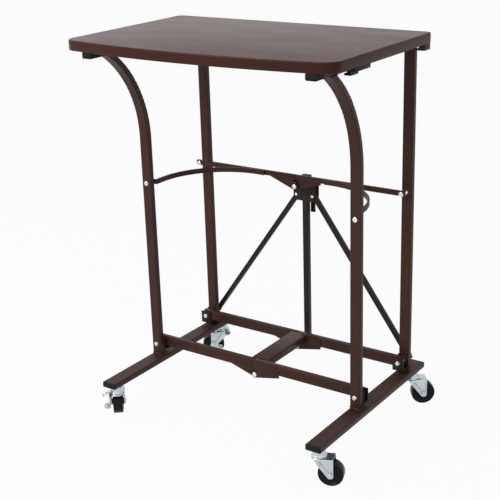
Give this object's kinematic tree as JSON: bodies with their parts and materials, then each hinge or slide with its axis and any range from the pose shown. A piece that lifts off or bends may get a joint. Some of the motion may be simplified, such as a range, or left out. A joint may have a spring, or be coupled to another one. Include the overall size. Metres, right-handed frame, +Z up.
{
  "type": "laptop cart",
  "caption": "Folding rolling laptop cart with a bow-front worktop on two bent-leg side frames, joined by jointed cross-bars, with a rear brace hub and swivel castors",
  "frame": {"origin": "centre of the bounding box on the floor", "axes": "+X to the right of someone sitting at the cart, +Y to the back, +Z up"},
  "size_m": [0.593, 0.4327, 0.765],
  "materials": {
    "top_board": "satin dark brown laminate",
    "brown_paint": "satin powder coat",
    "dark_paint": "satin powder coat",
    "black_plastic": "moulded, matt",
    "zinc": "bright zinc plate",
    "bright_steel": "bright",
    "wheel_black": "matt"
  },
  "bodies": {
    "left_frame": {"left_front_leg": "brown_paint", "left_back_leg": "brown_paint", "left_top_rail": "brown_paint", "left_rail_plug": "black_plastic", "left_foot": "brown_paint", "left_foot_caps": "black_plastic", "left_front_bracket": "dark_paint", "left_back_bracket": "dark_paint", "left_front_low_bolt": "bright_steel", "left_back_low_bolt": "bright_steel", "left_front_up_bolt": "bright_steel", "left_back_up_bolt": "bright_steel", "fl_castor_mount": "zinc", "bl_castor_mount": "zinc", "top_hinge_base": "zinc"},
    "right_frame": {"right_front_leg": "brown_paint", "right_back_leg": "brown_paint", "right_top_rail": "brown_paint", "right_rail_plug": "black_plastic", "right_foot": "brown_paint", "right_foot_caps": "black_plastic", "right_front_bracket": "dark_paint", "right_back_bracket": "dark_paint", "right_front_low_bolt": "bright_steel", "right_back_low_bolt": "bright_steel", "right_front_up_bolt": "bright_steel", "right_back_up_bolt": "bright_steel", "fr_castor_mount": "zinc", "br_castor_mount": "zinc"},
    "lower_left": {"left_front_bar": "brown_paint", "left_back_bar": "brown_paint", "front_centre_pin": "bright_steel"},
    "lower_right": {"right_front_bar": "brown_paint", "right_back_bar": "brown_paint", "cross_member": "brown_paint"},
    "upper_left": {"left_strip_bar": "brown_paint", "left_bow": "brown_paint"},
    "upper_right": {"right_strip_bar": "brown_paint", "right_bow": "brown_paint"},
    "post": {"post": "dark_paint", "post_cap": "black_plastic", "back_centre_pin": "bright_steel", "upper_centre_pin": "bright_steel"},
    "hub": {"hub": "dark_paint"},
    "hub_lever": {"hub_lever": "black_plastic"},
    "left_brace": {"left_brace": "dark_paint"},
    "right_brace": {"right_brace": "dark_paint"},
    "top": {"table_top": "top_board", "top_hinge_leaf": "zinc"},
    "top_latch": {"top_latch": "black_plastic"},
    "fl_fork": {"fl_castor_fork": "zinc"},
    "fl_wheel": {"fl_castor_wheel": "wheel_black"},
    "fl_brake": {"fl_brake_lever": "zinc"},
    "fr_fork": {"fr_castor_fork": "zinc"},
    "fr_wheel": {"fr_castor_wheel": "wheel_black"},
    "bl_fork": {"bl_castor_fork": "zinc"},
    "bl_wheel": {"bl_castor_wheel": "wheel_black"},
    "bl_brake": {"bl_brake_lever": "zinc"},
    "br_fork": {"br_castor_fork": "zinc"},
    "br_wheel": {"br_castor_wheel": "wheel_black"}
  },
  "joints": [
    {"name": "fold", "type": "hinge", "parent": "left_frame", "child": "lower_left", "pos_m": [-0.23548, 0.05036, 0.107], "axis": [0, -1, 0], "range_deg": [0, 83]},
    {"name": "lower_centre", "type": "hinge", "parent": "lower_left", "child": "lower_right", "pos_m": [0.00452, 0.05036, 0.089], "axis": [0, 1, 0], "range_deg": [0, 166.01]},
    {"name": "right_side", "type": "hinge", "parent": "lower_right", "child": "right_frame", "pos_m": [0.24452, 0.05036, 0.107], "axis": [0, -1, 0], "range_deg": [0, 83.01]},
    {"name": "upper_fold", "type": "hinge", "parent": "left_frame", "child": "upper_left", "pos_m": [-0.23548, 0.05036, 0.4605], "axis": [0, -1, 0], "range_deg": [0, 83.01]},
    {"name": "upper_centre", "type": "hinge", "parent": "upper_left", "child": "upper_right", "pos_m": [0.00452, 0.12936, 0.4425], "axis": [0, 1, 0], "range_deg": [0, 166.01]},
    {"name": "post_upright", "type": "hinge", "parent": "lower_left", "child": "post", "pos_m": [0.00452, 0.17136, 0.089], "axis": [0, 1, 0], "range_deg": [0, 83.01]},
    {"name": "hub_slide", "type": "slide", "parent": "post", "child": "hub", "axis": [0, 0, -1], "range_m": [0, 0.18401]},
    {"name": "left_brace_swing", "type": "hinge", "parent": "left_frame", "child": "left_brace", "pos_m": [-0.23548, 0.17136, 0.107], "axis": [0, -1, 0], "range_deg": [0, 31.51]},
    {"name": "right_brace_swing", "type": "hinge", "parent": "right_frame", "child": "right_brace", "pos_m": [0.24452, 0.17136, 0.107], "axis": [0, 1, 0], "range_deg": [0, 31.51]},
    {"name": "hub_lever_pull", "type": "hinge", "parent": "hub", "child": "hub_lever", "pos_m": [0.01452, 0.18236, 0.419], "axis": [0, -1, 0], "range_deg": [0, 20], "stiffness_Nm_per_rad": 0.2},
    {"name": "top_lift", "type": "hinge", "parent": "left_frame", "child": "top", "pos_m": [-0.25348, 0.00036, 0.74], "axis": [0, -1, 0], "range_deg": [0, 90]},
    {"name": "latch_slide", "type": "slide", "parent": "top", "child": "top_latch", "axis": [-1, 0, 0], "range_m": [0, 0.009]},
    {"name": "fl_swivel", "type": "hinge", "parent": "left_frame", "child": "fl_fork", "pos_m": [-0.22948, -0.18964, 0.063], "axis": [0, 0, 1], "continuous": true},
    {"name": "fl_roll", "type": "hinge", "parent": "fl_fork", "child": "fl_wheel", "pos_m": [-0.24362, -0.17279, 0.024], "axis": [-0.766, -0.6428, 0], "continuous": true},
    {"name": "fl_brake_press", "type": "hinge", "parent": "fl_fork", "child": "fl_brake", "pos_m": [-0.24362, -0.17279, 0.024], "axis": [0.766, 0.6428, 0], "range_deg": [0, 15]},
    {"name": "fr_swivel", "type": "hinge", "parent": "right_frame", "child": "fr_fork", "pos_m": [0.25052, -0.18964, 0.063], "axis": [0, 0, 1], "continuous": true},
    {"name": "fr_roll", "type": "hinge", "parent": "fr_fork", "child": "fr_wheel", "pos_m": [0.27119, -0.18211, 0.024], "axis": [-0.342, 0.9397, 0], "continuous": true},
    {"name": "bl_swivel", "type": "hinge", "parent": "left_frame", "child": "bl_fork", "pos_m": [-0.22948, 0.17836, 0.063], "axis": [0, 0, 1], "continuous": true},
    {"name": "bl_roll", "type": "hinge", "parent": "bl_fork", "child": "bl_wheel", "pos_m": [-0.24682, 0.16482, 0.024], "axis": [0.6157, -0.788, 0], "continuous": true},
    {"name": "bl_brake_press", "type": "hinge", "parent": "bl_fork", "child": "bl_brake", "pos_m": [-0.24682, 0.16482, 0.024], "axis": [-0.6157, 0.788, 0], "range_deg": [0, 15]},
    {"name": "br_swivel", "type": "hinge", "parent": "right_frame", "child": "br_fork", "pos_m": [0.25052, 0.17836, 0.063], "axis": [0, 0, 1], "continuous": true},
    {"name": "br_roll", "type": "hinge", "parent": "br_fork", "child": "br_wheel", "pos_m": [0.26786, 0.19191, 0.024], "axis": [-0.6157, 0.788, 0], "continuous": true}
  ],
  "couplings": [
    {"joint": "lower_centre", "follows": "fold", "ratio": 2},
    {"joint": "right_side", "follows": "fold", "ratio": 1},
    {"joint": "upper_fold", "follows": "fold", "ratio": 1},
    {"joint": "upper_centre", "follows": "fold", "ratio": 2},
    {"joint": "post_upright", "follows": "fold", "ratio": 1},
    {"joint": "hub_slide", "follows": "fold", "m_per_rad": 0.12701},
    {"joint": "left_brace_swing", "follows": "fold", "ratio": 0.37946},
    {"joint": "right_brace_swing", "follows": "fold", "ratio": 0.37946}
  ]
}
